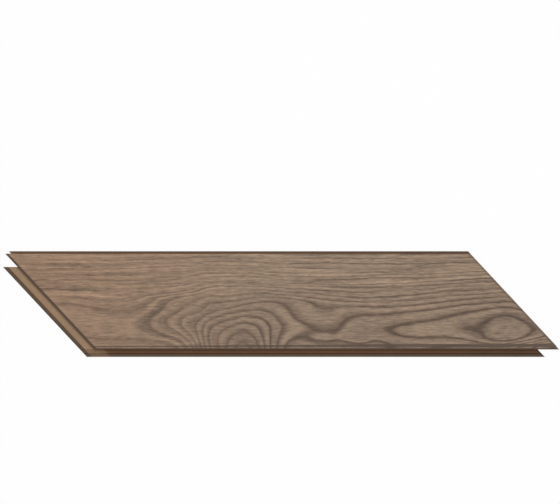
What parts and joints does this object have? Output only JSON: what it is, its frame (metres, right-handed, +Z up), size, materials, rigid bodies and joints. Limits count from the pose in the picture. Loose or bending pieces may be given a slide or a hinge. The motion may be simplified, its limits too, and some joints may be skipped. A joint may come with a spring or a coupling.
{
  "type": "chevron laminate plank",
  "caption": "Slanted-end laminate floor plank with a printed wood-grain face, milled click joints on all four edges and a paper backing.",
  "frame": {"origin": "on the underside of the backing, below the centre of the plank's outer box, joints included", "axes": "+X along the long edges towards the sharp front corner, +Y across the plank towards the tongue edge, +Z up out of the decor face"},
  "size_m": [0.6058, 0.1152, 0.012],
  "materials": {
    "decor": "satin wood-grain print under a clear wear layer",
    "hdf": "milled fibreboard",
    "backing": "matt resin-soaked paper"
  },
  "bodies": {
    "root": {"decor_layer": "decor", "hdf_core": "hdf", "backing_sheet": "backing"}
  },
  "joints": []
}
